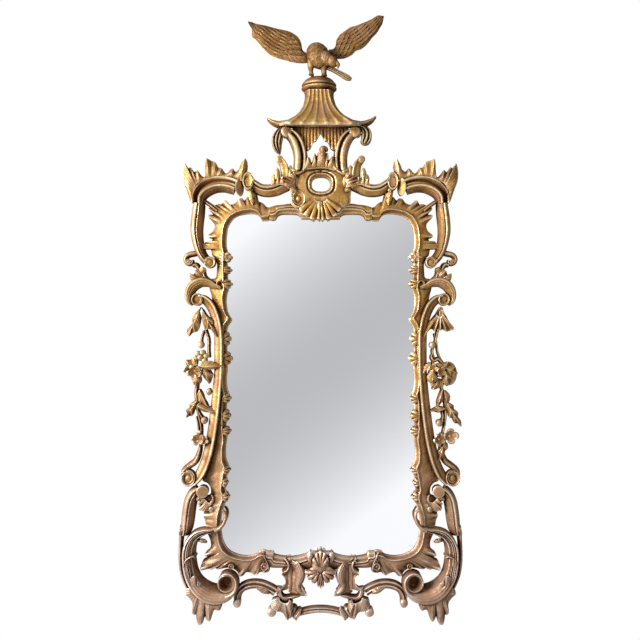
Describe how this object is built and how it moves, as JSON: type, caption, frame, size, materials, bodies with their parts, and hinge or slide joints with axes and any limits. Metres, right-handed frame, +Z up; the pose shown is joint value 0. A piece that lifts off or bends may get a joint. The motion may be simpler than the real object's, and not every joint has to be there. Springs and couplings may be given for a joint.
{
  "type": "carved giltwood pier mirror",
  "caption": "Tall carved and gilded wall mirror: scrolled, leafy frame round a glass plate, flower garlands, pagoda crest with a bird, boards behind, and D-ring hangers to hang it by.",
  "frame": {"origin": "middle of the visible glass, on the wall plane that the boards and the backs of the frame share", "axes": "+Z up along the glass, +X to the right seen from the front, +Y back into the wall; the front faces -Y"},
  "size_m": [0.786, 0.1132, 1.674],
  "materials": {
    "gilded_wood": "old gold leaf over red clay on carved pine, rubbed on the ridges, dark in the hollows",
    "silvered_glass": "silvered plate glass, clear and flat",
    "pine": "bare pine, darkened with age",
    "brass": "brass-plated steel, dull",
    "steel": "plain steel screws"
  },
  "bodies": {
    "frame": {"mirror_plate": "silvered_glass", "lower_backboard": "pine", "upper_backboard": "pine", "top_glazing_fillet": "pine", "bottom_glazing_fillet": "pine", "right_glazing_fillet": "pine", "left_glazing_fillet": "pine", "right_upper_corner_block": "gilded_wood", "left_upper_corner_block": "gilded_wood", "right_sight_stile": "gilded_wood", "left_sight_stile": "gilded_wood", "right_lower_corner_block": "gilded_wood", "left_lower_corner_block": "gilded_wood", "top_rail": "gilded_wood", "bottom_rail": "gilded_wood", "right_long_side_scroll": "gilded_wood", "left_long_side_scroll": "gilded_wood", "right_crown_scroll": "gilded_wood", "left_crown_scroll": "gilded_wood", "right_upper_side_scroll": "gilded_wood", "left_upper_side_scroll": "gilded_wood", "right_crown_leaves": "gilded_wood", "left_crown_leaves": "gilded_wood", "right_shoulder_leaf": "gilded_wood", "left_shoulder_leaf": "gilded_wood", "right_lower_outer_scroll": "gilded_wood", "left_lower_outer_scroll": "gilded_wood", "right_lower_c_scroll": "gilded_wood", "left_lower_c_scroll": "gilded_wood", "right_foot_leaf": "gilded_wood", "left_foot_leaf": "gilded_wood", "right_garland": "gilded_wood", "left_garland": "gilded_wood", "right_apron_scroll": "gilded_wood", "left_apron_scroll": "gilded_wood", "right_apron_bracket": "gilded_wood", "left_apron_bracket": "gilded_wood", "apron_shell": "gilded_wood", "apron_rail": "gilded_wood", "crest_cartouche": "gilded_wood", "right_crest_arm": "gilded_wood", "left_crest_arm": "gilded_wood", "right_pagoda_bracket": "gilded_wood", "left_pagoda_bracket": "gilded_wood", "pagoda_roof": "gilded_wood", "pagoda_valance": "gilded_wood", "left_roof_leaf": "gilded_wood", "right_roof_leaf": "gilded_wood", "pagoda_cap": "gilded_wood", "bird_body": "gilded_wood", "right_wing": "gilded_wood", "left_wing": "gilded_wood", "right_hanger_strap": "brass", "left_hanger_strap": "brass", "right_lower_hanger_screw": "steel", "left_lower_hanger_screw": "steel", "right_upper_hanger_screw": "steel", "left_upper_hanger_screw": "steel"},
    "left_ring": {"left_hanger_ring": "brass"},
    "right_ring": {"right_hanger_ring": "brass"}
  },
  "joints": [
    {"name": "left_ring_hinge", "type": "hinge", "parent": "frame", "child": "left_ring", "pos_m": [-0.288, 0.0048, 0.499], "axis": [1, 0, 0], "range_deg": [0, 180]},
    {"name": "right_ring_hinge", "type": "hinge", "parent": "frame", "child": "right_ring", "pos_m": [0.288, 0.0048, 0.499], "axis": [1, 0, 0], "range_deg": [0, 180]}
  ]
}
